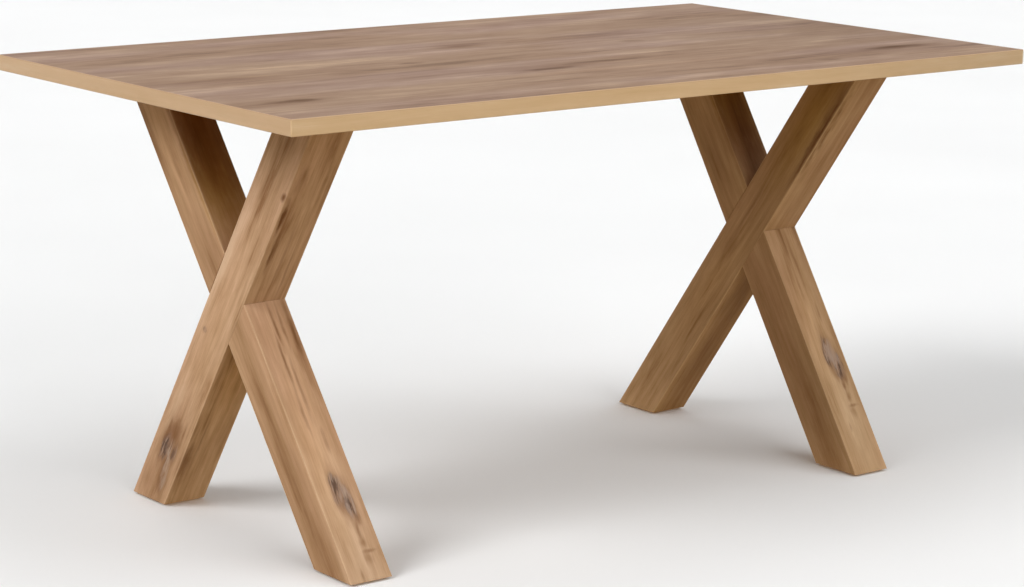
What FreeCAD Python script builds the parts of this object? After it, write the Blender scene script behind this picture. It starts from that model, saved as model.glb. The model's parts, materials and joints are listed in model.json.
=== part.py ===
import FreeCAD
import Part
import Sketcher
import os

# Dining table: a laminated board top on two X-shaped trestles of half-lapped box beams. Each
# trestle leans a little, so that its feet stand further in under the top than its head.
# The origin is on the floor under the middle of the top. X runs along the top, Y from the
# front to the back and Z up. All lengths are in millimetres.

# Driving sizes. Each becomes a cell of the sheet "sizes".
SIZES = {
    # Top panel
    "table_length": 1500,
    "table_width": 850,
    "table_height": 740,
    "top_thickness": 25,
    "laminate_thickness": 0.8,
    "band_thickness": 2,
    "band_round": 1.5,
    # Trestle beams: width is seen from the end of the table, depth runs along it
    "leg_width": 82,
    "leg_depth": 77,
    "wall_thickness": 16,
    "arris_round": 1.2,
    # From the table's end to the trestle's head, and how much further in its feet stand
    "trestle_inset": 150,
    "foot_tuck": 28,
    # Distances between the centre lines of a trestle's two beams, at the floor end and at the head
    "foot_spread": 536,
    "head_spread": 424,
    # Blocks inside the beams
    "head_block_height": 70,
    "foot_block_height": 50,
    "lap_block_height": 230,
    # Dowels through the half lap
    "dowel_diameter": 10,
    "dowel_length": 38,
    "dowel_pitch": 44,
    "dowel_end_room": 1,
    # Rail across the heads of a trestle, running past the outer bolts into the top
    "rail_thickness": 18,
    "rail_end_margin": 23,
    "rail_round": 2,
    # Connector bolts from the rail into the beams
    "head_bolt_diameter": 8,
    "head_bolt_length": 45,
    "head_bolt_pitch": 28,
    "head_cap_diameter": 16,
    "head_cap_height": 2.5,
    "head_cap_recess": 0.5,
    "head_socket_width": 5,
    "leg_insert_diameter": 12,
    "leg_insert_length": 28,
    # Bolts from below through the rail into the top, inside and outside the beams' heads
    "top_bolt_diameter": 6,
    "top_bolt_length": 30,
    "top_bolt_inner_gap": 68,
    "top_bolt_outer_gap": 24,
    "top_cap_diameter": 11,
    "top_cap_height": 4,
    "top_socket_width": 4,
    "washer_diameter": 18,
    "washer_thickness": 1.6,
    "top_insert_diameter": 10,
    "top_insert_length": 13,
    "socket_depth": 2.2,
    # Glides under the feet
    "glide_diameter": 45,
    "glide_thickness": 4,
    "glide_round": 1,
    "glide_recess": 2.2,
    "glide_screw_diameter": 3.5,
    "glide_screw_length": 18,
    "glide_screw_head_diameter": 8,
    "glide_screw_head_height": 1.5,
    # Clearances: fit and hole are on the diameter, tip is past the end of a bolt or screw
    "lap_clearance": 0.3,
    "block_clearance": 0.2,
    "fit_clearance": 0.1,
    "hole_clearance": 0.5,
    "tip_clearance": 2,
    # How far every cut runs past the piece that it cuts
    "overrun": 1,
}

# Places and sizes that follow from the driving sizes. Each becomes a cell of the sheet "layout".
LAYOUT = {
    "underside_level": "sizes.table_height - sizes.top_thickness",
    "core_low_level": "underside_level + sizes.laminate_thickness",
    "core_high_level": "sizes.table_height - sizes.laminate_thickness",
    "panel_length": "sizes.table_length - 2 * sizes.band_thickness",
    "panel_width": "sizes.table_width - 2 * sizes.band_thickness",
    # A beam runs from the foot level to the head level, leaning by its slope
    "head_level": "underside_level - sizes.rail_thickness",
    "foot_level": "sizes.glide_thickness",
    "leg_rise": "head_level - foot_level",
    "slope": "(sizes.head_spread + sizes.foot_spread) / 2 / leg_rise",
    "cross_level": "foot_level + sizes.foot_spread / 2 / slope",
    # A trestle also leans along the table. A length up its middle plane is longer than its rise.
    "tuck_slope": "sizes.foot_tuck / leg_rise",
    "tuck_factor": "sqrt(1 + tuck_slope * tuck_slope)",
    # A level cut through a leaning beam is this much wider than a square one
    "level_factor": "sqrt(1 + slope * slope)",
    "half_width": "sizes.leg_width / 2",
    "half_depth": "sizes.leg_depth / 2",
    "arris_middle": "sizes.arris_round * (1 - 1 / sqrt(2))",
    "block_width": "half_width - sizes.wall_thickness - sizes.block_clearance",
    "block_depth": "half_depth - sizes.wall_thickness - sizes.block_clearance",
    "notch_width": "(half_width + sizes.lap_clearance) * level_factor",
    "trestle_offset": "sizes.table_length / 2 - sizes.trestle_inset - half_depth",
    # Connector bolts: each crosses the beam's centre line halfway down its grip in the beam
    "head_cap_level": "underside_level - sizes.head_cap_recess",
    "head_seat_level": "head_cap_level - sizes.head_cap_height",
    "head_grip": "head_level - head_seat_level + sizes.head_bolt_length",
    "head_bolt_reach": "sizes.head_spread / 2 - slope * head_grip / 2",
    # Bolts into the top, and the rail that they hold
    "head_half_width": "half_width * level_factor",
    "top_bolt_inner": "sizes.head_spread / 2 - head_half_width - sizes.top_bolt_inner_gap",
    "top_bolt_outer": "sizes.head_spread / 2 + head_half_width + sizes.top_bolt_outer_gap",
    "rail_length": "2 * (top_bolt_outer + sizes.rail_end_margin)",
    "top_seat_level": "head_level - sizes.washer_thickness",
    "top_cap_level": "top_seat_level - sizes.top_cap_height",
    # Glide screws
    "glide_seat_level": "sizes.glide_recess - sizes.glide_screw_head_height",
    "screw_grip": "sizes.glide_screw_length - foot_level + sizes.glide_recess",
}

# Outline of one mitred wall in a square cut through its beam: how deep each point lies under the
# wall's face, how far in from the beam's edge, and at which of the two edges.
WALL_OUTLINE = (
    ("0", "sizes.arris_round", -1),
    ("0", "sizes.arris_round", 1),
    ("layout.arris_middle", "layout.arris_middle", 1),
    ("sizes.wall_thickness", "sizes.wall_thickness", 1),
    ("sizes.wall_thickness", "sizes.wall_thickness", -1),
    ("layout.arris_middle", "layout.arris_middle", -1),
)

doc = FreeCAD.newDocument("sawbuck_table")
pieces = []


def make_sheet(name, rows):
    """Fill a sheet with one named cell per row."""
    sheet = doc.addObject("Spreadsheet::Sheet", name)
    for line, (alias, content) in enumerate(rows.items(), start=1):
        sheet.set(f"A{line}", alias)
        sheet.set(f"B{line}", str(content))
        sheet.setAlias(f"B{line}", alias)
    doc.recompute()


def new_body(name, trestle=None):
    """Start a piece. A trestle's piece is modelled about the trestle's own middle and placed there."""
    body = doc.addObject("PartDesign::Body", name)
    body.Label = name
    body.AllowCompound = True
    if trestle:
        body.setExpression("Placement.Base.x", f"{trestle['side']} * layout.trestle_offset")
        body.setExpression("Placement.Rotation.Angle", trestle["turn"])
    pieces.append(body)
    return body


def new_sketch(body, plane, level="0"):
    """Attach an empty sketch to one of the body's own planes, moved out along the plane's normal."""
    sketch = body.newObject("Sketcher::SketchObject", f"{body.Name}_sketch")
    support = next(item for item in body.Origin.OriginFeatures if item.Role == plane)
    sketch.AttachmentSupport = [(support, "")]
    sketch.MapMode = "FlatFace"
    sketch.setExpression("AttachmentOffset.Base.z", level)
    return sketch


def middle_plane_sketch(body):
    """Attach an empty sketch to a trestle's leaning middle plane, measured from the head level."""
    sketch = new_sketch(body, "YZ_Plane")
    # The turn's axis is set here and its angle by the expression below
    turn = FreeCAD.Rotation(FreeCAD.Vector(1, 0, 0), 90)
    sketch.AttachmentOffset = FreeCAD.Placement(FreeCAD.Vector(), turn)
    sketch.setExpression("AttachmentOffset.Base.y", "layout.head_level")
    sketch.setExpression("AttachmentOffset.Rotation.Angle", "-atan(layout.tuck_slope)")
    return sketch


def bind(sketch, kind, *places, value):
    """Add a dimension to a sketch and tie it to an expression."""
    index = sketch.addConstraint(Sketcher.Constraint(kind, *places, float(sketch.evalExpression(value))))
    sketch.setExpression(f"Constraints[{index}]", value)


def add_polygon(sketch, points):
    """Draw a closed outline whose corners are pairs of expressions."""
    corners = [
        FreeCAD.Vector(float(sketch.evalExpression(across)), float(sketch.evalExpression(up)), 0)
        for across, up in points
    ]
    ends = corners[1:] + corners[:1]
    lines = [sketch.addGeometry(Part.LineSegment(start, end)) for start, end in zip(corners, ends)]
    for line, following in zip(lines, lines[1:] + lines[:1]):
        sketch.addConstraint(Sketcher.Constraint("Coincident", line, 2, following, 1))
    for line, (across, up) in zip(lines, points):
        bind(sketch, "DistanceX", -1, 1, line, 1, value=across)
        bind(sketch, "DistanceY", -1, 1, line, 1, value=up)


def add_circles(sketch, centres, diameter):
    """Draw one circle at each centre."""
    radius = float(sketch.evalExpression(diameter)) / 2
    for across, up in centres:
        middle = FreeCAD.Vector(float(sketch.evalExpression(across)), float(sketch.evalExpression(up)), 0)
        circle = sketch.addGeometry(Part.Circle(middle, FreeCAD.Vector(0, 0, 1), radius))
        bind(sketch, "Diameter", circle, value=diameter)
        bind(sketch, "DistanceX", -1, 1, circle, 3, value=across)
        bind(sketch, "DistanceY", -1, 1, circle, 3, value=up)


def pad(body, sketch, length, lean=None):
    """Raise a sketch along its normal or, for a beam, along a leaning line between two levels."""
    feature = body.newObject("PartDesign::Pad", f"{body.Name}_pad")
    feature.Profile = sketch
    feature.setExpression("Length", length)
    if lean:
        feature.UseCustomVector = True
        feature.AlongSketchNormal = True
        feature.setExpression("Direction.x", "-layout.tuck_slope")
        feature.setExpression("Direction.y", f"{lean} * layout.slope")
        feature.setExpression("Direction.z", "1")


def cut(body, sketch, depth, forward, level=False):
    """Cut a sketch into the body, forward or backward along its normal, or level along the table."""
    doc.recompute()
    before = body.Shape.Volume
    feature = body.newObject("PartDesign::Pocket", f"{body.Name}_cut")
    feature.Profile = sketch
    feature.Reversed = forward
    feature.setExpression("Length", depth)
    if level:
        feature.UseCustomVector = True
        feature.AlongSketchNormal = False
        feature.Direction = FreeCAD.Vector(-1, 0, 0)
    doc.recompute()
    if not body.Shape.Volume < before:
        raise RuntimeError(f"{feature.Name} cuts nothing")


def round_edges(body, radius, wanted):
    """Round the edges whose middle points the test picks."""
    doc.recompute()
    base = body.Tip
    edges = enumerate(body.Shape.Edges, start=1)
    names = [f"Edge{number}" for number, edge in edges if wanted(edge.CenterOfMass)]
    feature = body.newObject("PartDesign::Fillet", f"{body.Name}_round")
    feature.Base = (base, names)
    feature.setExpression("Radius", radius)


def rectangle(length, width):
    """Corners of a rectangle about the origin."""
    return [(f"{x} * {length} / 2", f"{y} * {width} / 2") for x, y in ((-1, -1), (1, -1), (1, 1), (-1, 1))]


def board(name, length, width, low, high, trestle=None):
    """Make a level board between two levels, centred on the origin or on its trestle."""
    body = new_body(name, trestle)
    sketch = new_sketch(body, "XY_Plane", low)
    add_polygon(sketch, rectangle(length, width))
    pad(body, sketch, f"{high} - {low}")
    return body


def add_discs(body, centres, diameter, low, high):
    """Add an upright cylinder at each centre, between two levels."""
    sketch = new_sketch(body, "XY_Plane", low)
    add_circles(sketch, centres, diameter)
    pad(body, sketch, f"{high} - ({low})")


def bore(body, centres, diameter, level, depth, up):
    """Bore an upright hole at each centre, up or down from a level."""
    sketch = new_sketch(body, "XY_Plane", level)
    add_circles(sketch, centres, diameter)
    cut(body, sketch, depth, forward=up)


def cut_sockets(body, centres, width, level, up):
    """Cut a hexagon socket into each bolt cap, up or down from the cap's face."""
    sides = 6
    sketch = new_sketch(body, "XY_Plane", level)
    for across, back in centres:
        corners = []
        for corner in range(sides):
            turn = f"{corner} * 360 / {sides}"
            corners.append((
                f"{across} + {width} / sqrt(3) * cos({turn})",
                f"{back} + {width} / sqrt(3) * sin({turn})",
            ))
        add_polygon(sketch, corners)
    cut(body, sketch, "sizes.socket_depth", forward=up)


def beam_centre(lean, level):
    """Where the centre line of a beam is, front to back, at a level."""
    return f"{lean} * (layout.slope * ({level} - layout.foot_level) - sizes.foot_spread / 2)"


def trestle_middle(level):
    """Where a trestle's middle plane is, along the table from its head, at a level."""
    return f"layout.tuck_slope * (layout.head_level - ({level}))"


def leaning_piece(name, trestle, lean, section, low, high):
    """Make a piece of a beam from its section, cut level at two heights."""
    body = new_body(name, trestle)
    sketch = new_sketch(body, "XY_Plane", low)
    middle = trestle_middle(low)
    centre = beam_centre(lean, low)
    add_polygon(sketch, [(f"{middle} + {x}", f"{centre} + {y} * layout.level_factor") for x, y in section])
    pad(body, sketch, f"{high} - ({low})", lean)
    return body


def wall_section(faces_along, side):
    """Square section of one mitred wall that faces along the table, or across the beam."""
    section = []
    for under, inset, edge in WALL_OUTLINE:
        if faces_along:
            x = f"{side} * (layout.half_depth - {under})"
            y = f"{edge} * (layout.half_width - {inset})"
        else:
            x = f"{edge} * (layout.half_depth - {inset})"
            y = f"{side} * (layout.half_width - {under})"
        section.append((x, y))
    return section


def notch(body, lean, notch_side):
    """Cut away the half of a beam that the crossing beam fills."""
    outline = []
    for level, edge in (("foot", -1), ("foot", 1), ("head", 1), ("head", -1)):
        height = f"layout.{level}_level"
        back = f"{beam_centre(-lean, height)} + {edge} * layout.notch_width"
        outline.append((back, f"({height} - layout.head_level) * layout.tuck_factor"))
    sketch = middle_plane_sketch(body)
    add_polygon(sketch, outline)
    cut(body, sketch, "layout.half_depth + sizes.overrun", forward=notch_side > 0, level=True)


def make_top():
    """Make the panel: core, two laminates and four edge bands."""
    fixings = [
        (f"{side} * layout.trestle_offset", back)
        for side in (-1, 1)
        for _, back in top_bolt_places()
    ]
    insert_bore = "sizes.top_insert_diameter + sizes.fit_clearance"
    panel = ("layout.panel_length", "layout.panel_width")

    core = board("tabletop_core", *panel, "layout.core_low_level", "layout.core_high_level")
    insert_room = "sizes.top_insert_length - sizes.laminate_thickness + sizes.tip_clearance"
    bore(core, fixings, insert_bore, "layout.core_low_level", insert_room, up=True)
    board("top_laminate", *panel, "layout.core_high_level", "sizes.table_height")
    backing = board("underside_laminate", *panel, "layout.underside_level", "layout.core_low_level")
    bore(backing, fixings, insert_bore, "layout.underside_level",
         "sizes.laminate_thickness + sizes.overrun", up=True)

    for name, side in (("front", -1), ("back", 1)):
        edge_band(f"edge_band_{name}", side, along=True)
    for name, side in (("left", -1), ("right", 1)):
        edge_band(f"edge_band_{name}", side, along=False)


def edge_band(name, side, along):
    """Make one edge strip. The two long strips cover the ends of the two short ones."""
    length = "sizes.table_length" if along else "sizes.band_thickness"
    width = "sizes.band_thickness" if along else "layout.panel_width"
    body = board(name, length, width, "layout.underside_level", "sizes.table_height")
    if along:
        inner = f"{side} * layout.panel_width / 2"
        body.setExpression("Placement.Base.y", f"{side} * (layout.panel_width + sizes.band_thickness) / 2")
        # Every edge but those that lie on the panel
        round_edges(body, "sizes.band_round",
                    lambda point: abs(point.y - float(body.evalExpression(inner))) > touch)
    else:
        outer = f"{side} * sizes.table_length / 2"
        body.setExpression("Placement.Base.x", f"{side} * (layout.panel_length + sizes.band_thickness) / 2")
        # The upper and lower arris of the outer face
        round_edges(body, "sizes.band_round",
                    lambda point: abs(point.x - float(body.evalExpression(outer))) < touch
                    and abs(point.y) < touch)


def head_bolt_places(leans=(-1, 1)):
    """Centres of the connector bolts at the heads of the given beams."""
    return [
        (f"{along} * sizes.head_bolt_pitch / 2", f"{lean} * layout.head_bolt_reach")
        for lean in leans
        for along in (-1, 1)
    ]


def top_bolt_places():
    """Centres of the bolts between a trestle's rail and the top."""
    return [
        ("0", f"{side} * layout.{place}")
        for side in (-1, 1)
        for place in ("top_bolt_inner", "top_bolt_outer")
    ]


def glide_places():
    """Centres of a trestle's two feet."""
    return [("sizes.foot_tuck", f"{side} * sizes.foot_spread / 2") for side in (-1, 1)]


def make_leg(name, trestle, lean, through_side):
    """Make one beam. Its wall on the through side is whole. The half lap cuts the opposite one in two."""
    foot, head, cross = "layout.foot_level", "layout.head_level", "layout.cross_level"
    notch_side = -through_side
    faces = {-1: "outer", 1: "inner"}

    leaning_piece(f"{name}_{faces[through_side]}_wall", trestle, lean,
                  wall_section(True, through_side), foot, head)
    for part, low, high in (("foot", foot, cross), ("head", cross, head)):
        wall = leaning_piece(f"{name}_{faces[notch_side]}_wall_{part}", trestle, lean,
                             wall_section(True, notch_side), low, high)
        notch(wall, lean, notch_side)
    for part, side in (("upper", -lean), ("lower", lean)):
        wall = leaning_piece(f"{name}_{part}_wall", trestle, lean, wall_section(False, side), foot, head)
        notch(wall, lean, notch_side)

    filling = rectangle("2 * layout.block_depth", "2 * layout.block_width")
    make_lap_block(name, trestle, lean, notch_side, filling)
    make_head_block(name, trestle, lean, filling)
    make_foot_block(name, trestle, lean, filling)


def make_lap_block(name, trestle, lean, notch_side, filling):
    """Fill the beam at the crossing, notched like the walls and bored for the dowels."""
    low = "layout.cross_level - sizes.lap_block_height / 2"
    high = "layout.cross_level + sizes.lap_block_height / 2"
    block = leaning_piece(f"{name}_lap_block", trestle, lean, filling, low, high)
    notch(block, lean, notch_side)
    room = "sizes.dowel_length + 2 * sizes.dowel_end_room"
    middle = trestle_middle("layout.cross_level")
    sketch = new_sketch(block, "YZ_Plane", f"{middle} - ({room}) / 2")
    add_circles(sketch, dowel_places(), "sizes.dowel_diameter + sizes.fit_clearance")
    cut(block, sketch, room, forward=True)


def make_head_block(name, trestle, lean, filling):
    """Fill the beam under the rail, bored for the inserts and for the ends of the bolts."""
    low = "layout.head_level - sizes.head_block_height"
    block = leaning_piece(f"{name}_head_block", trestle, lean, filling, low, "layout.head_level")
    places = head_bolt_places((lean,))
    bore(block, places, "sizes.leg_insert_diameter + sizes.fit_clearance",
         "layout.head_level", "sizes.leg_insert_length", up=False)
    bore(block, places, "sizes.head_bolt_diameter + sizes.hole_clearance",
         "layout.head_level", "layout.head_grip + sizes.tip_clearance", up=False)


def make_foot_block(name, trestle, lean, filling):
    """Fill the beam at the floor, bored for the glide's screw."""
    high = "layout.foot_level + sizes.foot_block_height"
    block = leaning_piece(f"{name}_foot_block", trestle, lean, filling, "layout.foot_level", high)
    place = [("sizes.foot_tuck", f"{-lean} * sizes.foot_spread / 2")]
    bore(block, place, "sizes.glide_screw_diameter + sizes.fit_clearance",
         "layout.foot_level", "layout.screw_grip + sizes.tip_clearance", up=True)


def dowel_places():
    """Centres of the two dowels, one above the other in the middle of the crossing."""
    return [("0", f"layout.cross_level + {side} * sizes.dowel_pitch / 2") for side in (-1, 1)]


def make_rail(name, trestle):
    """Make the rail that joins a trestle's two heads and carries the top."""
    rail = board(f"{name}_rail", "sizes.leg_depth", "layout.rail_length",
                 "layout.head_level", "layout.underside_level", trestle)
    low = float(rail.evalExpression("layout.head_level"))
    round_edges(rail, "sizes.rail_round", lambda point: abs(point.z - low) < touch)
    through = "sizes.rail_thickness + sizes.overrun"
    bore(rail, head_bolt_places(), "sizes.head_bolt_diameter + sizes.hole_clearance",
         "layout.underside_level", through, up=False)
    bore(rail, head_bolt_places(), "sizes.head_cap_diameter + sizes.hole_clearance",
         "layout.underside_level", "sizes.head_cap_recess + sizes.head_cap_height", up=False)
    bore(rail, top_bolt_places(), "sizes.top_bolt_diameter + sizes.hole_clearance",
         "layout.underside_level", through, up=False)


def make_head_fixings(name, trestle):
    """Make the connector bolts, sunk in the rail, and their inserts in the head blocks."""
    places = head_bolt_places()
    bolts = new_body(f"{name}_head_bolts", trestle)
    tip = "layout.head_seat_level - sizes.head_bolt_length"
    add_discs(bolts, places, "sizes.head_bolt_diameter", tip, "layout.head_seat_level")
    add_discs(bolts, places, "sizes.head_cap_diameter", "layout.head_seat_level", "layout.head_cap_level")
    cut_sockets(bolts, places, "sizes.head_socket_width", "layout.head_cap_level", up=False)

    inserts = new_body(f"{name}_leg_inserts", trestle)
    add_discs(inserts, places, "sizes.leg_insert_diameter",
              "layout.head_level - sizes.leg_insert_length", "layout.head_level")
    bore(inserts, places, "sizes.head_bolt_diameter + sizes.fit_clearance",
         "layout.head_level", "sizes.leg_insert_length + sizes.overrun", up=False)


def make_top_fixings(name, trestle):
    """Make the bolts and washers under the rail and their inserts in the top."""
    places = top_bolt_places()
    bolts = new_body(f"{name}_top_bolts", trestle)
    add_discs(bolts, places, "sizes.top_cap_diameter", "layout.top_cap_level", "layout.top_seat_level")
    add_discs(bolts, places, "sizes.top_bolt_diameter", "layout.top_seat_level",
              "layout.top_seat_level + sizes.top_bolt_length")
    cut_sockets(bolts, places, "sizes.top_socket_width", "layout.top_cap_level", up=True)

    washers = new_body(f"{name}_top_washers", trestle)
    add_discs(washers, places, "sizes.washer_diameter", "layout.top_seat_level", "layout.head_level")
    bore(washers, places, "sizes.top_bolt_diameter + sizes.hole_clearance",
         "layout.head_level", "sizes.washer_thickness + sizes.overrun", up=False)

    inserts = new_body(f"{name}_top_inserts", trestle)
    add_discs(inserts, places, "sizes.top_insert_diameter", "layout.underside_level",
              "layout.underside_level + sizes.top_insert_length")
    bore(inserts, places, "sizes.top_bolt_diameter + sizes.fit_clearance",
         "layout.underside_level", "sizes.top_insert_length + sizes.overrun", up=True)


def make_lap_dowels(name, trestle):
    """Make the dowels that pin the two beams together at the half lap."""
    dowels = new_body(f"{name}_lap_dowels", trestle)
    middle = trestle_middle("layout.cross_level")
    sketch = new_sketch(dowels, "YZ_Plane", f"{middle} - sizes.dowel_length / 2")
    add_circles(sketch, dowel_places(), "sizes.dowel_diameter")
    pad(dowels, sketch, "sizes.dowel_length")


def make_glides(name, trestle):
    """Make the glides under the feet and their screws, sunk in from below."""
    places = glide_places()
    glides = new_body(f"{name}_foot_glides", trestle)
    add_discs(glides, places, "sizes.glide_diameter", "0", "sizes.glide_thickness")
    round_edges(glides, "sizes.glide_round", lambda point: abs(point.z) < touch)
    bore(glides, places, "sizes.glide_screw_head_diameter + sizes.hole_clearance",
         "0", "sizes.glide_recess", up=True)
    bore(glides, places, "sizes.glide_screw_diameter + sizes.hole_clearance",
         "0", "sizes.glide_thickness + sizes.overrun", up=True)

    screws = new_body(f"{name}_glide_screws", trestle)
    add_discs(screws, places, "sizes.glide_screw_head_diameter", "layout.glide_seat_level",
              "sizes.glide_recess")
    add_discs(screws, places, "sizes.glide_screw_diameter", "sizes.glide_recess",
              "sizes.glide_recess + sizes.glide_screw_length")


def make_trestle(name, trestle):
    """Make one trestle. The beam that is whole on the outer face has its head in front."""
    make_leg(f"{name}_{trestle['outer_beam']}_leg", trestle, lean=-1, through_side=-1)
    make_leg(f"{name}_{trestle['inner_beam']}_leg", trestle, lean=1, through_side=1)
    make_rail(name, trestle)
    make_head_fixings(name, trestle)
    make_top_fixings(name, trestle)
    make_lap_dowels(name, trestle)
    make_glides(name, trestle)


def check_model():
    """Stop if any feature failed or any piece has no sound shape."""
    doc.recompute()
    for item in doc.Objects:
        if "Invalid" in item.State or "Error" in item.State:
            raise RuntimeError(f"{item.Name} failed: {item.State}")
    for piece in pieces:
        if piece.Shape.isNull() or not piece.Shape.isValid():
            raise RuntimeError(f"{piece.Label} has no sound shape")


make_sheet("sizes", SIZES)
make_sheet("layout", {alias: f"={formula}" for alias, formula in LAYOUT.items()})
# How close two places must be to count as the same
touch = doc.getObject("sizes").overrun / 1000
make_top()
# The two trestles are alike. The right one is turned half round, so that its outer face is outside.
make_trestle("left", {"side": -1, "turn": "0", "outer_beam": "rear", "inner_beam": "front"})
make_trestle("right", {"side": 1, "turn": "180", "outer_beam": "front", "inner_beam": "rear"})
check_model()

os.makedirs("parts", exist_ok=True)
for piece in pieces:
    piece.Shape.exportStep(f"parts/{piece.Label}.step")
    print(piece.Label, len(piece.Shape.Solids), round(piece.Shape.Volume))
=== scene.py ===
import json
import math
import bmesh
import bpy
from mathutils import Euler, Matrix, Vector


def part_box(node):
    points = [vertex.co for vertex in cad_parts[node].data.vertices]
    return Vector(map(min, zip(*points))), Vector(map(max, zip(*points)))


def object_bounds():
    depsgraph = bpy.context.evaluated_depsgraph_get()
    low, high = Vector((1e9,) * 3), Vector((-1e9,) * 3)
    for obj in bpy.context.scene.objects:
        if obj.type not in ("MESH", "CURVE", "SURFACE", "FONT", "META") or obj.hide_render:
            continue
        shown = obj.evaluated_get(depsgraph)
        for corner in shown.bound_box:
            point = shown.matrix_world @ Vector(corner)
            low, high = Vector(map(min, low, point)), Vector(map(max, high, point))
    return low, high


# The looks of a dining table: oak-decor board top with edge strips on two X-shaped trestles of
# half-lapped box beams. Lengths are metres, and MM turns the millimetre lists below into metres.
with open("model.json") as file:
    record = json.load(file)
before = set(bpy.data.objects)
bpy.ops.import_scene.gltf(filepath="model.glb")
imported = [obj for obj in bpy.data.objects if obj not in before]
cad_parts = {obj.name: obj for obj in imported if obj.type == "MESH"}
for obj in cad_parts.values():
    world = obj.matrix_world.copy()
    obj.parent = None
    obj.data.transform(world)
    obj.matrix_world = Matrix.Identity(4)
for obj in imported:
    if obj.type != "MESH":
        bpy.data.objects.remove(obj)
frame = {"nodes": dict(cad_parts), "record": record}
cad_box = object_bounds()

MM = 0.001
LEGS = ("left_front_leg", "left_rear_leg", "right_front_leg", "right_rear_leg")

# The photograph's camera: place in metres, angles in degrees, focal length in pixels of its frame
CAMERA_PLACE = (-2.9441, -3.7005, 1.3272)
CAMERA_AZIMUTH = -38.322
CAMERA_ELEVATION = 11.914
CAMERA_ROLL = -0.811
FOCAL_PIXELS = 2858.4
PICTURE_WIDTH_PIXELS = 1024
SENSOR_WIDTH_MM = 36

# Studio: a pale floor and backdrop, far wide lights and an even surround that is warm from below
FLOOR_SIZE = 60.0
FLOOR_TONES = ((238, 239, 240), (242, 243, 244))
FLOOR_CLOUDS_PER_METRE = 0.8
BACKDROP_RADIUS = 28.0
BACKDROP_SEGMENTS = 64
BACKDROP_RINGS = 32
BACKDROP_GLOW = (0.977, 0.986, 0.983, 1.0)
LIGHTS = (
    # name, degrees round from the front towards the left, degrees up, degrees wide, strength
    ("left_light", 94, 37, 32, 1.85),
    ("low_left_light", 90, 11, 24, 0.19),
    ("front_light", 5, 21, 34, 1.07),
    ("right_light", -40, 52, 42, 0.83),
    ("back_light", -155, 62, 40, 0.30),
)
SURROUND_ABOVE = (0.33, 0.325, 0.315, 1.0)
SURROUND_BELOW = (0.40, 0.293, 0.127, 1.0)
SURROUND_BLEND_LEVELS = (-0.3, 0.0)

# Marks on the wood, each: kind, centre and reach in millimetres, strength share. Knots, ash, streaks
# and the small shades beside them are print; the other light, pale, shade, amber and gold marks on the
# legs are painted light and painted shade, some partly the print's own tone.
# On a leg the three numbers run along the table, across the leg (front is minus), and up the leg
# from its foot. The marks lie on the leg's front face and on its left face.
FRONT_FACE = -41
LEFT_FACE = -38
FRONT_LEG_MARKS = (
    # Painted light and shade: the front face lighter low down, a paler foot, the left face darker by
    # the crossing and lighter under the top
    ("light", (-14, FRONT_FACE, 150), (40, 26, 220), 0.7),
    ("pale", (0, FRONT_FACE, 0), (70, 30, 260), 1.0),
    ("shade", (LEFT_FACE, 0, 540), (24, 60, 110), 0.5),
    ("light", (LEFT_FACE, 0, 790), (24, 60, 200), 1.0),
    ("shade", (8, FRONT_FACE, 108), (26, 26, 66), 0.5),
    ("knot", (2, FRONT_FACE, 122), (10, 26, 34), 0.9),
    ("knot", (14, FRONT_FACE, 96), (10, 26, 32), 0.9),
    ("ash", (10, FRONT_FACE, 116), (8, 18, 36), 0.5),
    ("streak", (18, FRONT_FACE, 70), (9, 20, 16), 0.6),
    ("streak", (13, FRONT_FACE, 54), (4, 18, 20), 0.9),
    ("shade", (14, FRONT_FACE, 33), (9, 18, 15), 1.0),
    ("streak", (18, FRONT_FACE, 18), (16, 18, 5), 0.7),
    ("shade", (12, FRONT_FACE, 6), (11, 18, 18), 0.7),
    ("streak", (-10, FRONT_FACE, -18), (4, 16, 14), 0.5),
    ("streak", (14, FRONT_FACE, 200), (5, 16, 30), 0.5),
    ("streak", (-1, FRONT_FACE, 400), (5, 16, 50), 1.0),
    ("streak", (-8, FRONT_FACE, 340), (5, 16, 66), 0.9),
    ("streak", (-9, FRONT_FACE, 255), (5, 16, 54), 0.6),
    ("streak", (12, FRONT_FACE, 395), (5, 16, 54), 0.7),
    ("streak", (3, FRONT_FACE, 300), (5, 16, 84), 0.6),
    ("streak", (29, FRONT_FACE, 385), (8, 18, 66), 0.9),
    ("shade", (28, FRONT_FACE, 350), (15, 26, 110), 0.8),
    # Painted shade, partly the print's own darker tone: the left face darker low down and at the foot
    ("shade", (LEFT_FACE, 0, 160), (22, 60, 320), 0.45),
    ("shade", (LEFT_FACE, 0, 30), (24, 60, 150), 0.35),
    # Painted shade under the top: the head's front face darker, warmer and yellower
    ("amber", (-4, FRONT_FACE, 820), (90, 14, 380), 1.0),
    ("amber", (-4, FRONT_FACE, 690), (90, 14, 150), 0.5),
    ("gold", (-4, FRONT_FACE, 650), (90, 14, 150), 0.9),
)
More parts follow.
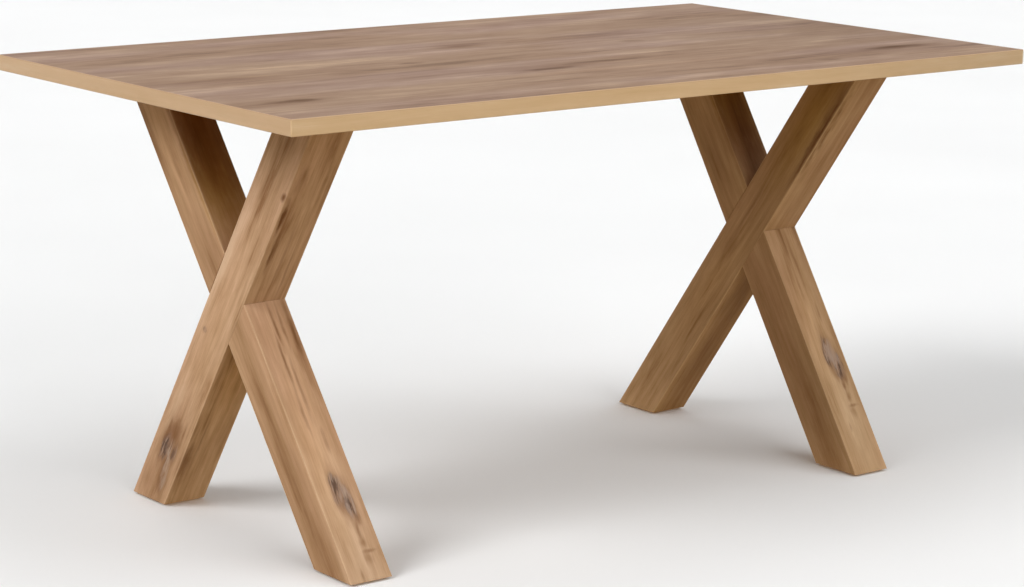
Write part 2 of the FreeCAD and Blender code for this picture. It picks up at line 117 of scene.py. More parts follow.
# The right front leg repeats the left one's marks, print and painted light and shade alike, moved along
# the table and up the leg
PRINT_SHIFT_ALONG = 4
PRINT_SHIFT_UP = 78
LEG_MARKS = {
    # Painted light: the front face lighter along most of the leg
    "left_front_leg": (("light", (0, FRONT_FACE, 300), (80, 30, 440), 0.45),) + FRONT_LEG_MARKS,
    "right_front_leg": (
        # Painted shade: the left face warmer and darker at the foot, and the head's front face darker
        # and warmer under the top
        ("amber", (LEFT_FACE, 0, 20), (26, 60, 300), 0.3),
        ("amber", (0, FRONT_FACE, 640), (90, 14, 150), 0.7),
        ("gold", (0, FRONT_FACE, 820), (90, 14, 220), 0.8),
    ) + tuple(
        (kind, (x + PRINT_SHIFT_ALONG, y, z + PRINT_SHIFT_UP), reach, strength)
        for kind, (x, y, z), reach, strength in FRONT_LEG_MARKS
    ),
    "left_rear_leg": (
        # Painted light: the left face lighter in the middle, and the front face lighter below the
        # crossing
        ("light", (LEFT_FACE, 4, 430), (30, 60, 290), 0.5),
        ("light", (0, FRONT_FACE, 310), (60, 26, 170), 1.0),
        # Painted shade, partly the print round the big knot: the left face darker at the foot
        ("shade", (LEFT_FACE, 0, 60), (34, 60, 230), 0.9),
        ("shade", (LEFT_FACE, 0, 215), (26, 60, 90), 0.25),
        ("shade", (LEFT_FACE, 2, 140), (30, 34, 84), 1.0),
        ("shade", (LEFT_FACE, -12, 58), (26, 20, 46), 1.0),
        ("shade", (-28, FRONT_FACE, 118), (20, 14, 70), 1.0),
        ("streak", (-29, FRONT_FACE, 140), (14, 12, 52), 0.8),
        ("streak", (LEFT_FACE, -2, 170), (24, 26, 36), 0.7),
        ("knot", (LEFT_FACE, 10, 122), (20, 8, 40), 0.9),
        ("knot", (LEFT_FACE, -17, 128), (20, 6, 26), 0.6),
        ("ash", (LEFT_FACE, -3, 124), (24, 12, 38), 0.8),
        ("ash", (LEFT_FACE, -9, 92), (24, 11, 36), 0.8),
        ("ash", (LEFT_FACE, -17, 60), (24, 9, 32), 0.6),
        ("streak", (LEFT_FACE, 14, 152), (14, 5, 40), 0.9),
        ("streak", (LEFT_FACE, -24, 182), (14, 4, 36), 0.8),
        ("knot", (LEFT_FACE, 20, 383), (12, 4, 7), 0.45),
        ("streak", (LEFT_FACE, -37, 724), (12, 8, 14), 1.5),
        ("streak", (-33, FRONT_FACE, 688), (6, 16, 52), 1.7),
        ("streak", (-25, FRONT_FACE, 612), (6, 16, 62), 1.5),
        ("shade", (-27, FRONT_FACE, 765), (14, 12, 44), 0.9),
        ("streak", (-2, FRONT_FACE, 600), (4, 12, 110), 0.6),
        ("streak", (16, FRONT_FACE, 560), (4, 12, 90), 0.5),
        ("streak", (-14, FRONT_FACE, 180), (4, 12, 110), 0.6),
    ),
    "right_rear_leg": (
        ("streak", (LEFT_FACE, -37, 720), (16, 11, 170), 1.7),
        ("shade", (LEFT_FACE, 6, 420), (20, 20, 60), 0.6),
        # Painted shade: the front face darker along its length and under the crossing
        ("shade", (8, FRONT_FACE, 140), (60, 26, 440), 1.0),
        ("shade", (8, FRONT_FACE, 600), (60, 26, 400), 0.6),
        ("shade", (8, FRONT_FACE, 340), (60, 26, 120), 0.5),
        # Painted light: the left face lighter low down
        ("light", (LEFT_FACE, 0, 310), (26, 60, 250), 1.0),
        # Painted shade under the top: the head's left face darker, warmer and yellower
        ("amber", (LEFT_FACE, 0, 820), (26, 60, 420), 0.5),
        ("gold", (LEFT_FACE, 0, 760), (26, 60, 260), 0.9),
        ("streak", (LEFT_FACE, 12, 500), (14, 5, 90), 0.6),
        ("streak", (LEFT_FACE, -20, 250), (14, 5, 120), 0.5),
        ("streak", (-4, FRONT_FACE, 200), (5, 14, 90), 0.5),
    ),
}
# On the top and on the long edge strips the three numbers run from front to back, up, and along the
# table from its middle. All marks of the top lie on its upper face.
TOP_LEVEL_MM = cad_box[1][2] / MM
TOP_MARK_DEPTH_MM = 40
TOP_MARKS = tuple(
    (kind, (back, TOP_LEVEL_MM, along), (wide, TOP_MARK_DEPTH_MM, long), strength)
    for kind, back, along, wide, long, strength in (
        ("shade", -284, -690, 34, 150, 0.8),
        ("smoke", -278, -640, 22, 80, 1.4),
        ("shade", -286, 580, 34, 150, 0.7),
        ("smoke", -282, 580, 20, 90, 1.4),
        ("smoke", -350, 370, 14, 36, 0.7),
        ("smoke", -190, -100, 16, 90, 1.2),
        ("smoke", -160, 40, 14, 110, 1.0),
        ("smoke", -15, -250, 18, 36, 0.8),
        ("smoke", 22, 250, 16, 34, 0.8),
        ("shade", 115, -45, 34, 80, 1.0),
        ("shade", 105, 230, 30, 280, 0.6),
        ("shade", -25, -600, 42, 240, 0.6),
        ("shade", 160, -520, 66, 300, 0.3),
        ("shade", -165, -150, 46, 420, 0.4),
        ("shade", -300, 480, 46, 320, 0.5),
        ("shade", -25, 580, 40, 200, 0.5),
        ("light", 55, -300, 26, 480, 0.6),
        ("light", -90, -620, 16, 160, 0.6),
        ("light", -235, 40, 20, 440, 0.6),
        ("light", 300, 100, 60, 500, 0.3),
        # Painted shade: the right end of the top darker
        ("dusk", 0, 760, 600, 700, 0.42),
    )
)
# Painted shade: the long strips darker towards the right end
LONG_STRIP_SHADE_MARKS = (("dusk", (0, TOP_LEVEL_MM, 820), (900, 200, 860), 1.0),)

# Tones as screen colours, from dark to light where there are several. The third of a wood's four tones
# is its usual one.
USUAL_TONE = 2
LEG_TONES = ((141, 103, 70), (174, 139, 107), (191, 156, 126), (205, 174, 145))
LEG_DRIFT = (193, 154, 127)
TOP_TONES = ((127, 101, 81), (153, 124, 103), (165, 138, 116), (184, 156, 130))
TOP_DRIFT = (163, 137, 124)
RAIL_TONES = ((140, 97, 62), (174, 131, 93), (190, 148, 110), (204, 164, 125))
BACKING_TONES = ((150, 124, 100), (170, 144, 119), (180, 155, 129), (190, 166, 140))
BLOCK_TONES = ((196, 160, 112), (212, 178, 130), (222, 192, 146), (230, 204, 164))
BAND_TONES = ((199, 165, 124), (209, 177, 136), (215, 184, 145), (224, 197, 162))
# Painted shade: the short strips are a darker copy of the strip tones
SHADED_SHORT_BAND_TONES = ((188, 156, 120), (199, 167, 131), (205, 174, 140), (212, 187, 157))
BAND_ARRIS = (186, 150, 118)
KNOT_DARK = (78, 58, 50)
KNOT_GREY = (134, 108, 94)
ASH_PALE = (180, 158, 142)
STREAK_TINTS = {"streak": (116, 74, 40), "smoke": (104, 74, 52)}
CHIP_DARK = (150, 112, 70)
ZINC_TONES = ((150, 150, 146), (186, 186, 180), (206, 205, 198))
PLASTIC_TONES = ((48, 36, 29), (60, 46, 37))
PLASTIC_SCUFF = (96, 78, 64)
# What a broad mark multiplies the wood's colour by, in the middle. The amber, gold and dusk marks are
# painted shade, the pale mark painted light, and most light and shade marks on the legs painted light
# and shade.
BROAD_TINTS = {
    "shade": (0.66, 0.58, 0.50, 1.0),
    "light": (1.18, 1.18, 1.17, 1.0),
    "pale": (1.06, 1.14, 1.24, 1.0),
    "amber": (0.42, 0.24, 0.07, 1.0),
    "gold": (1.05, 1.05, 0.60, 1.0),
    "dusk": (0.70, 0.72, 0.76, 1.0),
}
# How light each leg's boards are, as painted light and shade: shares of the tones' red, green and blue
LEG_LIGHT_SHADE_SHARES = {
    "left_front_leg": (1.015, 1.01, 0.985),
    "left_rear_leg": (1.045, 1.05, 1.05),
    "right_front_leg": (0.975, 0.965, 0.90),
    "right_rear_leg": (0.98, 0.97, 0.91),
}
# How strongly the grain shows on each leg
LEG_CONTRASTS = {
    "left_front_leg": 0.8,
    "left_rear_leg": 1.15,
    "right_front_leg": 0.9,
    "right_rear_leg": 1.0,
}

# Noises of the printed grain: spots in a metre (across the grain both ways, then along it), detail
# and roughness
GRAIN_NOISES = {
    "wander": ((9, 9, 1.7), 2.0, 0.55),
    "broad": ((14, 14, 1.6), 3.0, 0.55),
    "clouds": ((45, 45, 9), 4.0, 0.6),
    "streaks": ((85, 85, 3.2), 5.0, 0.62),
    "fibres": ((430, 430, 13), 3.0, 0.6),
    "contours": ((15, 15, 0.9), 2.0, 0.55),
    "drift": ((7, 7, 1.5), 2.0, 0.55),
    "pores": ((1300, 1300, 34), 1.0, 0.55),
    "ragged": ((95, 95, 34), 3.0, 0.55),
    "torn": ((150, 150, 24), 3.0, 0.55),
    "strands": ((240, 240, 24), 3.0, 0.6),
}
NOISE_MIDDLE = 0.5
# How much of each noise goes into the tone, and between which tones the wood goes from dark to light
GRAIN_SHARES = {"broad": 0.5, "clouds": 0.42, "streaks": 0.36, "fibres": 0.22}
CONTOUR_TURNS = 62.0
CONTOUR_SHARE = 0.018
TONE_RANGE = (0.3, 0.7)
# Between which values of its noise a feature comes in
FEATURE_RANGES = {
    "drift": (0.42, 0.68),
    "pores": (0.60, 0.72),
    "torn": (0.34, 0.58),
    "strands": (0.48, 0.58),
}
STREAK_FIBRE_RANGE = (0.30, 0.62)
DRIFT_SHARE = 0.8
PORE_SHARE = 0.2
PORE_DEPTH_SHARE = 0.6
# How far the grain wanders, in metres, and how a seed moves its noises
WANDER_REACH = (0.026, 0.026, 0.0)
SEED_STEPS = (1.0, 1.7, 2.3)
FIRST_LEG_SEED = 1.0
FIRST_BLOCK_SEED = 6.0
# How a knot bends the grain: as far as these shares of its reach, by these shares of the distance
BEND_REACH_SHARES = (2.6, 2.6, 2.4)
BEND_SHARES = (0.62, 0.62, 0.0)
# How far a mark's outline may stray: as a share of its reach, and at most, in millimetres
RAGGED_SHARE = 1.2
RAGGED_MOST = (12, 12, 50)
# How much of a mark's reach its fading edge takes
SOFT_SHARES = {"bend": 1.0, "broad": 1.0, "streak": 0.95, "ash": 0.8, "halo": 0.9, "core": 0.6}
STREAK_SHARE = 0.42
HALO_REACH_SHARE = 1.9
DARK_STRANDS_SHIFT = 0.0
PALE_STRANDS_SHIFT = 3.7
KNOT_DEPTH_SHARE = 0.8
KNOT_LAYERS = (
    # mask, share, tone
    ("halo", 0.4, STREAK_TINTS["streak"]),
    ("core", 0.6, KNOT_GREY),
    ("dark", 0.85, KNOT_DARK),
    ("pale", 0.55, ASH_PALE),
)

# Roughness of a surface between its smooth and its rough fibres
LEG_GLOSS = (0.42, 0.62)
BOARD_GLOSS = (0.55, 0.7)
STRIP_GLOSS = (0.36, 0.5)
RAW_GLOSS = (0.6, 0.8)
# Worn arrises of the legs, the darker upper arris of the strips, and how deep each surface's relief is
WORN_WIDTH = 3 * MM
STRIP_ARRIS_HEIGHT = 3 * MM
STRIP_ARRIS_SHARE = 0.7
WOOD_RELIEF = 0.3 * MM
STEEL_RELIEF = 0.05 * MM
PLASTIC_RELIEF = 0.1 * MM
# Particle board, steel and plastic: spots of their noises in a metre each way, the values between which
# a feature comes in, its share, and the roughness between smooth and rough places
CHIPS_PER_METRE = (260, 420, 700)
SPECKS_PER_METRE = (900, 900, 900)
SPECK_RANGE = (0.55, 0.7)
SPECK_SHARE = 0.5
CHIP_GLOSS = (0.75, 0.95)
BRUSHING_PER_METRE = (1800, 1800, 260)
DULL_PATCHES_PER_METRE = (240, 240, 240)
ZINC_GLOSS = (0.24, 0.52)
MOULD_SPOTS_PER_METRE = (2200, 2200, 2200)
SCUFFS_PER_METRE = (160, 520, 160)
SCUFF_RANGE = (0.54, 0.70)
SCUFF_SHARE = 0.45
PLASTIC_GLOSS = (0.5, 0.75)


def screen(red, green, blue):
    """A screen colour as the linear colour that a shader takes."""
    def linear(value):
        share = value / 255
        return share / 12.92 if share <= 0.04045 else ((share + 0.055) / 1.055) ** 2.4
    return (linear(red), linear(green), linear(blue), 1.0)


def screens(tones):
    """Several screen colours as linear ones."""
    return [screen(*tone) for tone in tones]


def metres(numbers):
    """Millimetres as metres."""
    return tuple(number * MM for number in numbers)


class Shader:
    """A procedural material or world, with short ways to add nodes to its tree and to join them."""

    def __init__(self, owner, surface_kind="BSDF_PRINCIPLED"):
        owner.use_nodes = True
        self.owner = owner
        self.tree = owner.node_tree
        self.surface = next(node for node in self.tree.nodes if node.type == surface_kind)

    @classmethod
    def material(cls, name):
        return cls(bpy.data.materials.new(name))

    def feed(self, socket, value):
        """Link a socket to another node's output, or set its own value."""
        if isinstance(value, bpy.types.NodeSocket):
            self.tree.links.new(value, socket)
        else:
            socket.default_value = value

    def add(self, kind, inputs, **settings):
        """Add a node, set it up and feed its inputs by name or number."""
        node = self.tree.nodes.new(f"ShaderNode{kind}")
        for name, value in settings.items():
            setattr(node, name, value)
        for key, value in inputs.items():
            self.feed(node.inputs[key], value)
        return node

    def math(self, operation, first, second=0.0):
        return self.add("Math", {0: first, 1: second}, operation=operation).outputs[0]

    def vector(self, operation, first, second=(0, 0, 0)):
        node = self.add("VectorMath", {0: first, 1: second}, operation=operation)
        return node.outputs["Value" if operation in ("LENGTH", "DOT_PRODUCT") else "Vector"]

    def scaled(self, vector, factor):
        return self.add("VectorMath", {0: vector, "Scale": factor}, operation="SCALE").outputs["Vector"]

    def noise(self, place, stretch, detail=3.0, roughness=0.55, output="Fac"):
        """Noise whose spots have the size of one over the stretch, each way."""
        inputs = {
            "Vector": self.vector("MULTIPLY", place, stretch),
            "Scale": 1.0,
            "Detail": detail,
            "Roughness": roughness,
        }
        return self.add("TexNoise", inputs).outputs[output]

    def fade(self, value, start, end):
        """0 at the start and 1 at the end, smoothly between."""
        inputs = {"Value": value, "From Min": start, "From Max": end}
        return self.add("MapRange", inputs, interpolation_type="SMOOTHSTEP").outputs["Result"]

    def mix(self, share, first, second, blend="MIX"):
        """Mix two colours. The node names other sockets alike, so its colour sockets go by number."""
        inputs = {0: share, 6: first, 7: second}
        return self.add("Mix", inputs, data_type="RGBA", blend_type=blend).outputs[2]

    def ramp(self, value, colours, low=0.25, high=0.75):
        """Colours spread evenly between two values."""
        node = self.add("ValToRGB", {"Fac": value})
        elements = node.color_ramp.elements
        while len(elements) < len(colours):
            elements.new(1.0)
        for index, colour in enumerate(colours):
            elements[index].position = low + (high - low) * index / (len(colours) - 1)
            elements[index].color = colour
        return node.outputs["Color"]

    def separate(self, vector):
        return self.add("SeparateXYZ", {0: vector}).outputs

    def combine(self, x, y, z):
        return self.add("CombineXYZ", {0: x, 1: y, 2: z}).outputs[0]

    def object_place(self):
        """Places in the table's own frame."""
        return self.add("TexCoord", {}).outputs["Object"]

    def grain_place(self, along):
        """The same places turned so that the wood's grain runs along the third number."""
        x, y, z = self.separate(self.object_place())[:3]
        return self.combine(y, z, x) if along == "X" else self.combine(x, z, y)

    def finish(self, colour, roughness, height=None, strength=0.2, depth=WOOD_RELIEF, mirror=0.5):
        """Wire colour, roughness and bump into the surface, and set how strongly it mirrors."""
        self.feed(self.surface.inputs["Base Color"], colour)
        self.feed(self.surface.inputs["Roughness"], roughness)
        self.surface.inputs["Specular IOR Level"].default_value = mirror
        if height is not None:
            inputs = {"Strength": strength, "Distance": depth, "Height": height}
            self.feed(self.surface.inputs["Normal"], self.add("Bump", inputs).outputs["Normal"])
        return self.owner


def centre(node):
    """Middle of a node's box."""
    low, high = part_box(node)
    return (low + high) / 2


def leg_frame(leg):
    """Foot centre, axes (along the table, across the leg, up the leg) and half sizes of a leg."""
    low_block = centre(f"{leg}_foot_block")
    high_block = centre(f"{leg}_head_block")
    up = (high_block - low_block).normalized()
    walls = [node for node in frame["nodes"] if node.startswith(leg) and "_wall" in node]
    boxes = [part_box(node) for node in walls]
    floor_level = min(low.z for low, _ in boxes)
    foot = low_block + up * (floor_level - low_block.z) / up.z
    along = (Vector((1, 0, 0)) - up * up.x).normalized()
    across = up.cross(along)
    rail_low, rail_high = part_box(f"{leg.split('_')[0]}_rail")
    half_depth = (rail_high.x - rail_low.x) / 2
    level_half_width = foot.y - min(low.y for low, _ in boxes)
    if foot.y > 0:
        level_half_width = max(high.y for _, high in boxes) - foot.y
    half_width = level_half_width * up.z / math.hypot(up.y, up.z)
    return foot, (along, across, up), (half_depth, half_width)


def leg_place(shader, foot, axes):
    """Places in a leg's own frame, measured from the middle of its foot."""
    offset = shader.vector("SUBTRACT", shader.object_place(), tuple(foot))
    return shader.combine(*(shader.vector("DOT_PRODUCT", offset, tuple(axis)) for axis in axes))


def spot(shader, place, where, reach, soft_share):
    """1 in the middle of an ellipsoid and 0 outside it."""
    offset = shader.vector("SUBTRACT", place, metres(where))
    distance = shader.vector("LENGTH", shader.vector("DIVIDE", offset, metres(reach)))
    return shader.fade(distance, 1.0, 1.0 - soft_share)


def grain(shader, place, name, output="Fac"):
    """One of the noises of the printed grain."""
    stretch, detail, roughness = GRAIN_NOISES[name]
    return shader.noise(place, stretch, detail, roughness, output)


def feature(shader, place, name):
    """A feature of the grain as a mask: 1 where its noise is high, and 0 where it is low."""
    return shader.fade(grain(shader, place, name), *FEATURE_RANGES[name])


def push(shader, place, name):
    """A noise of the grain as an offset that goes as far to either side, all three ways."""
    return shader.vector("SUBTRACT", grain(shader, place, name, "Color"), (NOISE_MIDDLE,) * 3)


def bend_round_knot(shader, place, where, reach):
    """Bend the grain round a knot."""
    wide = [size * share for size, share in zip(reach, BEND_REACH_SHARES)]
    mask = spot(shader, place, where, wide, SOFT_SHARES["bend"])
    offset = shader.vector("SUBTRACT", place, metres(where))
    sideways = shader.vector("MULTIPLY", offset, BEND_SHARES)
    return shader.vector("SUBTRACT", place, shader.scaled(sideways, mask))


def oak(shader, place, tones, drift, marks=(), seed=0.0, contrast=1.0):
    """Colour, height and fibres of printed oak, with its grain along the third number of the place, and
    its marks, print and painted light and shade alike.
    """
    wander = shader.vector("MULTIPLY", push(shader, place, "wander"), WANDER_REACH)
    bent = shader.vector("ADD", place, wander)
    for kind, where, reach, _ in marks:
        if kind == "knot":
            bent = bend_round_knot(shader, bent, where, reach)
    seeded = shader.vector("ADD", bent, tuple(seed * step for step in SEED_STEPS))

    layers = {name: grain(shader, seeded, name) for name in GRAIN_SHARES}
    tone = NOISE_MIDDLE
    for name, share in GRAIN_SHARES.items():
        departure = shader.math("SUBTRACT", layers[name], NOISE_MIDDLE)
        tone = shader.math("ADD", tone, shader.math("MULTIPLY", departure, share * contrast))
    contours = grain(shader, seeded, "contours")
    lines = shader.math("SINE", shader.math("MULTIPLY", contours, CONTOUR_TURNS))
    tone = shader.math("ADD", tone, shader.math("MULTIPLY", lines, CONTOUR_SHARE * contrast))

    colour = shader.ramp(tone, screens(tones), *TONE_RANGE)
    drifting = shader.math("MULTIPLY", feature(shader, seeded, "drift"), DRIFT_SHARE)
    tint = [towards / usual for towards, usual in zip(screen(*drift), screen(*tones[USUAL_TONE]))]
    colour = shader.mix(drifting, colour, tint, "MULTIPLY")
    pores = feature(shader, seeded, "pores")
    colour = shader.mix(shader.math("MULTIPLY", pores, PORE_SHARE), colour, screen(*tones[0]))

    relief = shader.math("ADD", layers["streaks"], layers["fibres"])
    height = shader.math("SUBTRACT", relief, shader.math("MULTIPLY", pores, PORE_DEPTH_SHARE))
    uneven = push(shader, place, "ragged")
    for mark in marks:
        colour, height = print_mark(shader, colour, height, bent, uneven, layers["streaks"], mark)
    return colour, height, layers["fibres"]


def print_mark(shader, colour, height, place, uneven, streaks, mark):
    """Put one mark over the wood's colour, with a ragged outline; many broad marks are painted light
    and shade.
    """
    kind, where, reach, strength = mark
    stray = metres(min(size * RAGGED_SHARE, most) for size, most in zip(reach, RAGGED_MOST))
    ragged = shader.vector("ADD", place, shader.vector("MULTIPLY", uneven, stray))
    if kind == "knot":
        return print_knot(shader, colour, height, place, ragged, mark)
    if kind in BROAD_TINTS:
        mask = spot(shader, ragged, where, reach, SOFT_SHARES["broad"])
        share = shader.math("MULTIPLY", mask, strength)
        return shader.mix(share, colour, BROAD_TINTS[kind], "MULTIPLY"), height
    if kind == "ash":
        mask = spot(shader, ragged, where, reach, SOFT_SHARES["ash"])
        torn = shader.math("MULTIPLY", mask, feature(shader, place, "torn"))
        share = shader.math("MULTIPLY", torn, strength)
        return shader.mix(share, colour, screen(*ASH_PALE)), height
    mask = spot(shader, ragged, where, reach, SOFT_SHARES["streak"])
    fibrous = shader.math("MULTIPLY", mask, shader.fade(streaks, *STREAK_FIBRE_RANGE))
    share = shader.math("MULTIPLY", shader.math("ADD", mask, fibrous), STREAK_SHARE * strength)
    return shader.mix(share, colour, screen(*STREAK_TINTS[kind])), height


def print_knot(shader, colour, height, place, ragged, mark):
    """Print a knot: a brown halo and a grey core with dark and pale torn fibres, the dark ones sunk."""
    _, where, reach, strength = mark
    wide = [size * HALO_REACH_SHARE for size in reach]
    core = spot(shader, ragged, where, reach, SOFT_SHARES["core"])
    masks = {
        "halo": spot(shader, ragged, where, wide, SOFT_SHARES["halo"]),
        "core": core,
        "dark": shader.math("MULTIPLY", core, strands(shader, place, DARK_STRANDS_SHIFT)),
        "pale": shader.math("MULTIPLY", core, strands(shader, place, PALE_STRANDS_SHIFT)),
    }
    for name, share, tone in KNOT_LAYERS:
        layer = shader.math("MULTIPLY", masks[name], share * strength)
        colour = shader.mix(layer, colour, screen(*tone))
    sunk = shader.math("MULTIPLY", masks["dark"], KNOT_DEPTH_SHARE)
    return colour, shader.math("SUBTRACT", height, sunk)


def strands(shader, place, shift):
    """Torn fibres along the grain, as a mask; each shift gives other fibres."""
    return feature(shader, shader.vector("ADD", place, (shift,) * 3), "strands")


def satin(shader, pattern, smooth, rough):
    """Roughness that follows a pattern of values from 0 to 1."""
    return shader.math("ADD", smooth, shader.math("MULTIPLY", pattern, rough - smooth))


def edge_wear(shader, place, half_sizes):
    """1 along the four long arrises of a beam, fading inwards."""
    insides = [
        shader.math("SUBTRACT", shader.math("ABSOLUTE", part), half)
        for part, half in zip(shader.separate(place), half_sizes)
    ]
    return shader.fade(shader.math("MINIMUM", *insides), -WORN_WIDTH, 0.0)


def leg_decor(leg, seed):
    """Printed knotty oak that wraps round a leg's corners, with painted light and shade in its tones
    and marks.
    """
    shader = Shader.material(f"{leg}_decor")
    foot, axes, half_sizes = leg_frame(leg)
    place = leg_place(shader, foot, axes)
    *tones, drift = [
        [value * share for value, share in zip(tone, LEG_LIGHT_SHADE_SHARES[leg])]
        for tone in (*LEG_TONES, LEG_DRIFT)
    ]
    colour, height, fibres = oak(shader, place, tones, drift, LEG_MARKS[leg], seed, LEG_CONTRASTS[leg])
    worn = shader.math("MULTIPLY", edge_wear(shader, place, half_sizes), fibres)
    colour = shader.mix(worn, colour, screen(*tones[-1]))
    return shader.finish(colour, satin(shader, fibres, *LEG_GLOSS), height, mirror=0.1)


def block_wood(leg, seed):
    """Raw planed softwood inside a leg."""
    shader = Shader.material(f"{leg}_block_wood")
    foot, axes, _ = leg_frame(leg)
    place = leg_place(shader, foot, axes)
    colour, height, fibres = oak(shader, place, BLOCK_TONES, BLOCK_TONES[1], seed=seed, contrast=0.8)
    return shader.finish(colour, satin(shader, fibres, *RAW_GLOSS), height, strength=0.35)


def board_decor(name, along, tones, drift, marks=(), seed=0.0, contrast=1.0, gloss=BOARD_GLOSS):
    """Printed oak on a flat board, or raw wood of a turned piece."""
    shader = Shader.material(name)
    colour, height, fibres = oak(shader, shader.grain_place(along), tones, drift, marks, seed, contrast)
    return shader.finish(colour, satin(shader, fibres, *gloss), height, strength=0.15, mirror=0.2)


def edge_strip(name, along, tones, marks=()):
    """Wood-print edge strip, darker on its rounded upper arris, with painted shade from its tones and
    marks.
    """
    shader = Shader.material(name)
    place = shader.grain_place(along)
    colour, height, fibres = oak(
        shader, place, tones, tones[USUAL_TONE], marks, seed=4.1, contrast=0.7
    )
    _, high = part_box("edge_band_front")
    level = shader.separate(shader.object_place())[2]
    arris = shader.fade(level, high.z - STRIP_ARRIS_HEIGHT, high.z)
    colour = shader.mix(shader.math("MULTIPLY", arris, STRIP_ARRIS_SHARE), colour, screen(*BAND_ARRIS))
    return shader.finish(colour, satin(shader, fibres, *STRIP_GLOSS), height, strength=0.1, mirror=0.3)


def particle_board():
    """Pressed chips of several tones."""
    shader = Shader.material("particle_board")
    place = shader.object_place()
    chip_place = shader.vector("MULTIPLY", place, CHIPS_PER_METRE)
    chips = shader.add("TexVoronoi", {"Vector": chip_place, "Scale": 1.0})
    tone = shader.separate(chips.outputs["Color"])[0]
    colour = shader.ramp(tone, screens(BLOCK_TONES), low=0.0, high=1.0)
    specks = shader.fade(shader.noise(place, SPECKS_PER_METRE, detail=2.0), *SPECK_RANGE)
    colour = shader.mix(shader.math("MULTIPLY", specks, SPECK_SHARE), colour, screen(*CHIP_DARK))
    return shader.finish(colour, satin(shader, tone, *CHIP_GLOSS), tone, strength=0.4)


def zinc_steel():
    """Zinc-plated steel with fine brushing and dull patches."""
    shader = Shader.material("zinc_steel")
    place = shader.object_place()
    brushed = shader.noise(place, BRUSHING_PER_METRE)
    patches = shader.noise(place, DULL_PATCHES_PER_METRE)
    colour = shader.ramp(patches, screens(ZINC_TONES))
    shader.surface.inputs["Metallic"].default_value = 1.0
    roughness = satin(shader, brushed, *ZINC_GLOSS)
    return shader.finish(colour, roughness, brushed, strength=0.12, depth=STEEL_RELIEF)


def glide_plastic():
    """Moulded dark brown plastic with a fine matt texture and scuffs."""
    shader = Shader.material("glide_plastic")
    place = shader.object_place()
    mould = shader.noise(place, MOULD_SPOTS_PER_METRE, detail=2.0)
    scuffs = shader.fade(shader.noise(place, SCUFFS_PER_METRE, detail=4.0, roughness=0.7), *SCUFF_RANGE)
    colour = shader.ramp(mould, screens(PLASTIC_TONES))
    colour = shader.mix(shader.math("MULTIPLY", scuffs, SCUFF_SHARE), colour, screen(*PLASTIC_SCUFF))
    roughness = satin(shader, scuffs, *PLASTIC_GLOSS)
    return shader.finish(colour, roughness, mould, strength=0.25, depth=PLASTIC_RELIEF)


def dress(node, material):
    """Give a node of the table its material."""
    slots = frame["nodes"][node].data.materials
    slots.clear()
    slots.append(material)


def dress_table():
    """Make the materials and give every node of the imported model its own."""
    shared = {
        "top_decor": board_decor("top_decor", "X", TOP_TONES, TOP_DRIFT, TOP_MARKS, contrast=1.15),
        "underside_decor": board_decor(
            "underside_decor", "X", BACKING_TONES, BACKING_TONES[USUAL_TONE], seed=9.3, contrast=0.7
        ),
        "rail_decor": board_decor("rail_decor", "Y", RAIL_TONES, RAIL_TONES[1], seed=5.2),
        "dowel_wood": board_decor(
            "dowel_wood", "X", BLOCK_TONES, BLOCK_TONES[0], seed=2.4, contrast=0.8, gloss=RAW_GLOSS
        ),
        "particle_board": particle_board(),
        "glide_plastic": glide_plastic(),
        "zinc_steel": zinc_steel(),
    }
    long_strip = edge_strip("edge_strip_long", "X", BAND_TONES, LONG_STRIP_SHADE_MARKS)
    short_strip = edge_strip("edge_strip_short", "Y", SHADED_SHORT_BAND_TONES)
    decors = {leg: leg_decor(leg, FIRST_LEG_SEED + index) for index, leg in enumerate(LEGS)}
    blocks = {leg: block_wood(leg, FIRST_BLOCK_SEED + index) for index, leg in enumerate(LEGS)}
    for row in frame["record"]["subparts"]:
        node = row["node"]
        slot = row["material_slot"]
        leg = next((name for name in LEGS if node.startswith(name)), None)
        if slot == "leg_decor":
            dress(node, decors[leg])
        elif slot == "inner_block":
            dress(node, blocks[leg])
        elif slot == "edge_band":
            dress(node, long_strip if node.endswith(("front", "back")) else short_strip)
        else:
            dress(node, shared[slot])


def add_to_scene(name, data):
    """Put a mesh, light or camera into the scene as a new object."""
    thing = bpy.data.objects.new(name, data)
    bpy.context.scene.collection.objects.link(thing)
    return thing


def make_floor():
    """Make the plain pale floor that the table stands on."""
    mesh = bpy.data.meshes.new("floor")
    half = FLOOR_SIZE / 2
    corners = [(-half, -half, 0), (half, -half, 0), (half, half, 0), (-half, half, 0)]
    mesh.from_pydata(corners, [], [(0, 1, 2, 3)])
    floor = add_to_scene("floor", mesh)
    shader = Shader.material("floor_paint")
    cloud = shader.noise(shader.object_place(), (FLOOR_CLOUDS_PER_METRE,) * 3, detail=2.0)
    colour = shader.ramp(cloud, screens(FLOOR_TONES))
    mesh.materials.append(shader.finish(colour, roughness=0.9, mirror=0.0))
    # Matt surfaces get no light from the floor, and it lets the surround's through, so that the
    # shadows under the table stay as deep and warm as in the photograph
    floor.visible_diffuse = False
    floor.visible_shadow = False


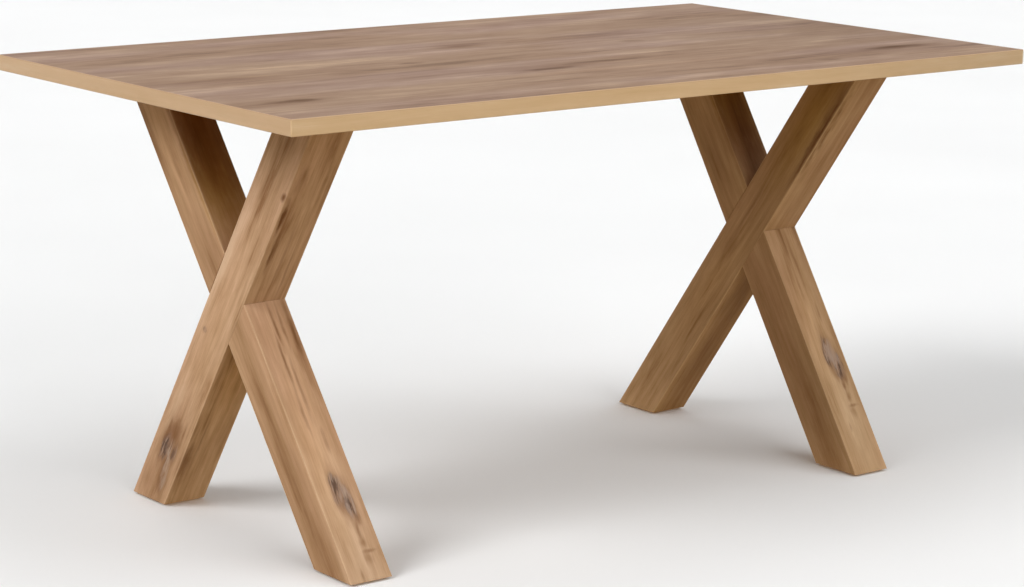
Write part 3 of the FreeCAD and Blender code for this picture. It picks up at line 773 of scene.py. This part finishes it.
def make_backdrop():
    """Close the studio round the floor with a pale dome that throws no light on the table."""
    dome = bmesh.new()
    bmesh.ops.create_uvsphere(
        dome, u_segments=BACKDROP_SEGMENTS, v_segments=BACKDROP_RINGS, radius=BACKDROP_RADIUS
    )
    mesh = bpy.data.meshes.new("backdrop")
    dome.to_mesh(mesh)
    dome.free()
    backdrop = add_to_scene("backdrop", mesh)
    shader = Shader.material("backdrop_glow")
    shader.surface.inputs["Emission Color"].default_value = BACKDROP_GLOW
    shader.surface.inputs["Emission Strength"].default_value = 1.0
    mesh.materials.append(shader.finish((0, 0, 0, 1), roughness=1.0, mirror=0.0))
    backdrop.visible_diffuse = False
    backdrop.visible_glossy = False
    backdrop.visible_shadow = False


def make_light(name, round_angle, up_angle, spread, strength):
    """Set one far, wide light that shines on the whole floor alike."""
    lamp = bpy.data.lights.new(name, "SUN")
    lamp.energy = strength
    lamp.angle = math.radians(spread)
    towards = Vector((0, -1, 0))
    towards.rotate(Euler((math.radians(-up_angle), 0, 0)))
    towards.rotate(Euler((0, 0, math.radians(-round_angle))))
    add_to_scene(name, lamp).rotation_euler = towards.to_track_quat("Z", "Y").to_euler()


def make_surround():
    """Make the even light of the studio's walls, with a warm fill from below."""
    shader = Shader(bpy.data.worlds.new("studio"), "BACKGROUND")
    level = shader.separate(shader.add("TexCoord", {}).outputs["Generated"])[2]
    rising = shader.fade(level, *SURROUND_BLEND_LEVELS)
    shader.feed(shader.surface.inputs["Color"], shader.mix(rising, SURROUND_BELOW, SURROUND_ABOVE))
    bpy.context.scene.world = shader.owner


def make_camera():
    """Set up the photograph's camera."""
    azimuth = math.radians(CAMERA_AZIMUTH)
    elevation = math.radians(CAMERA_ELEVATION)
    roll = math.radians(CAMERA_ROLL)
    back = Vector((
        math.sin(azimuth) * math.cos(elevation),
        -math.cos(azimuth) * math.cos(elevation),
        math.sin(elevation),
    ))
    right = (-back).cross(Vector((0, 0, 1))).normalized()
    up = back.cross(right)
    rolled_right = right * math.cos(roll) - up * math.sin(roll)
    rolled_up = up * math.cos(roll) + right * math.sin(roll)
    lens = bpy.data.cameras.new("camera")
    lens.sensor_width = SENSOR_WIDTH_MM
    lens.lens = FOCAL_PIXELS / PICTURE_WIDTH_PIXELS * SENSOR_WIDTH_MM
    camera = add_to_scene("camera", lens)
    turn = Matrix((rolled_right, rolled_up, back)).transposed().to_4x4()
    camera.matrix_world = Matrix.Translation(CAMERA_PLACE) @ turn
    bpy.context.scene.camera = camera


dress_table()
make_floor()
make_backdrop()
for light in LIGHTS:
    make_light(*light)
make_surround()
make_camera()
bpy.context.scene.view_settings.view_transform = "Standard"
